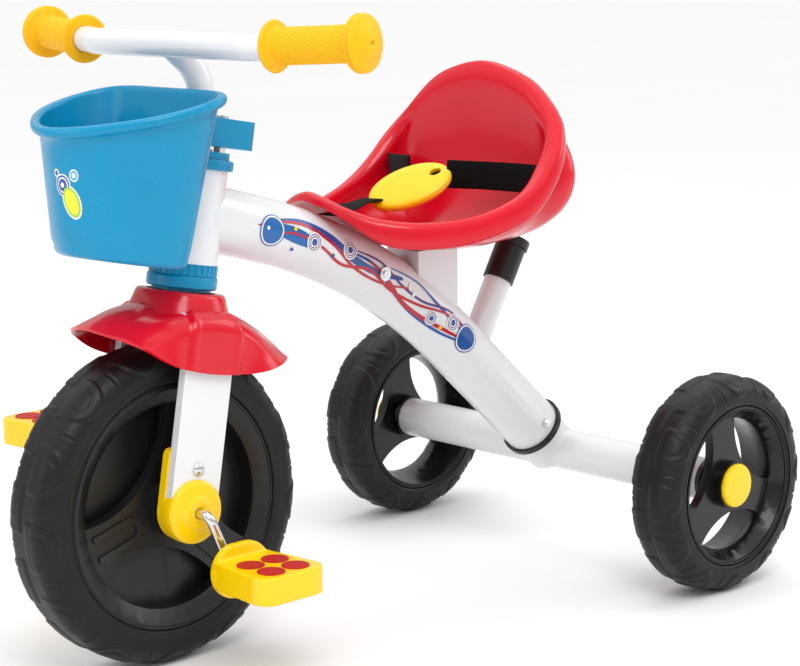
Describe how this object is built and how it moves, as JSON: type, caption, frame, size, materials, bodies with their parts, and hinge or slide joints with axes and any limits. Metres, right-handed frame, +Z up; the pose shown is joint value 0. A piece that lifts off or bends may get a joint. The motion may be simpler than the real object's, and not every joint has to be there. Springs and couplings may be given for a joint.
{
  "type": "tricycle",
  "caption": "Child's pedal tricycle with a curved tube frame, raked fork with mudguard, bucket seat with harness, front basket and push bar socket.",
  "frame": {"origin": "centre of the footprint on the ground", "axes": "+X forward, +Y to the rider's left, +Z up"},
  "size_m": [0.6942, 0.448, 0.5199],
  "materials": {
    "white_paint": "smooth gloss powder coat",
    "black_plastic": "moulded, semi-gloss",
    "tyre_foam": "satin moulded foam with a raised tread",
    "chrome_steel": "bright plated",
    "red_plastic": "glossy moulded",
    "red_stud": "moulded pad",
    "blue_plastic": "glossy moulded",
    "yellow_plastic": "moulded, semi-gloss",
    "yellow_grip": "soft grip with a fine diamond pattern",
    "webbing": "woven polyester"
  },
  "bodies": {
    "frame": {"head_tube": "white_paint", "main_beam": "white_paint", "beam_neck": "white_paint", "beam_collar": "black_plastic", "axle_tube": "white_paint", "axle_rod": "chrome_steel", "axle_bush_left": "black_plastic", "axle_bush_right": "black_plastic", "axle_nut_left": "chrome_steel", "axle_nut_right": "chrome_steel", "seat_bracket": "white_paint", "seat_bolts": "chrome_steel", "seat": "red_plastic", "strap_left": "webbing", "strap_right": "webbing", "strap_crotch": "webbing", "buckle": "yellow_plastic", "push_socket": "white_paint", "push_sleeve": "black_plastic", "head_bush_lower": "blue_plastic", "head_bush_upper": "blue_plastic", "beam_screws": "chrome_steel"},
    "steering": {"steerer_tube": "white_paint", "stem": "white_paint", "handlebar": "white_paint", "grip_left": "yellow_grip", "grip_right": "yellow_grip", "fork_crown": "white_paint", "fork_blade_left": "white_paint", "fork_blade_right": "white_paint", "mudguard": "red_plastic", "basket": "blue_plastic", "basket_clamp": "blue_plastic", "clamp_bolt": "chrome_steel", "cap_left": "yellow_plastic", "cap_right": "yellow_plastic", "bearing_left": "yellow_plastic", "bearing_right": "yellow_plastic", "fork_screw_left": "chrome_steel", "fork_screw_right": "chrome_steel"},
    "front_wheel": {"front_tyre": "tyre_foam", "front_rim": "black_plastic", "crankshaft": "chrome_steel"},
    "left_pedal": {"pedal_left": "yellow_plastic", "pedal_studs_left": "red_stud"},
    "right_pedal": {"pedal_right": "yellow_plastic", "pedal_studs_right": "red_stud"},
    "rear_left_wheel": {"rear_tyre_left": "tyre_foam", "rear_rim_left": "black_plastic", "hub_cap_left": "yellow_plastic"},
    "rear_right_wheel": {"rear_tyre_right": "tyre_foam", "rear_rim_right": "black_plastic", "hub_cap_right": "yellow_plastic"}
  },
  "joints": [
    {"name": "steering", "type": "hinge", "parent": "frame", "child": "steering", "pos_m": [0.21725, 0, 0.13], "axis": [-0.1736, 0, 0.9848], "range_deg": [-45, 45]},
    {"name": "front_wheel_spin", "type": "hinge", "parent": "steering", "child": "front_wheel", "pos_m": [0.21725, 0, 0.13], "axis": [0, 1, 0], "continuous": true},
    {"name": "left_pedal_spin", "type": "hinge", "parent": "front_wheel", "child": "left_pedal", "pos_m": [0.19752, 0, 0.08569], "axis": [0, 1, 0], "continuous": true},
    {"name": "right_pedal_spin", "type": "hinge", "parent": "front_wheel", "child": "right_pedal", "pos_m": [0.23698, 0, 0.17431], "axis": [0, 1, 0], "continuous": true},
    {"name": "rear_left_spin", "type": "hinge", "parent": "frame", "child": "rear_left_wheel", "pos_m": [-0.25075, 0.1985, 0.0965], "axis": [0, 1, 0], "continuous": true},
    {"name": "rear_right_spin", "type": "hinge", "parent": "frame", "child": "rear_right_wheel", "pos_m": [-0.25075, -0.1985, 0.0965], "axis": [0, 1, 0], "continuous": true}
  ]
}
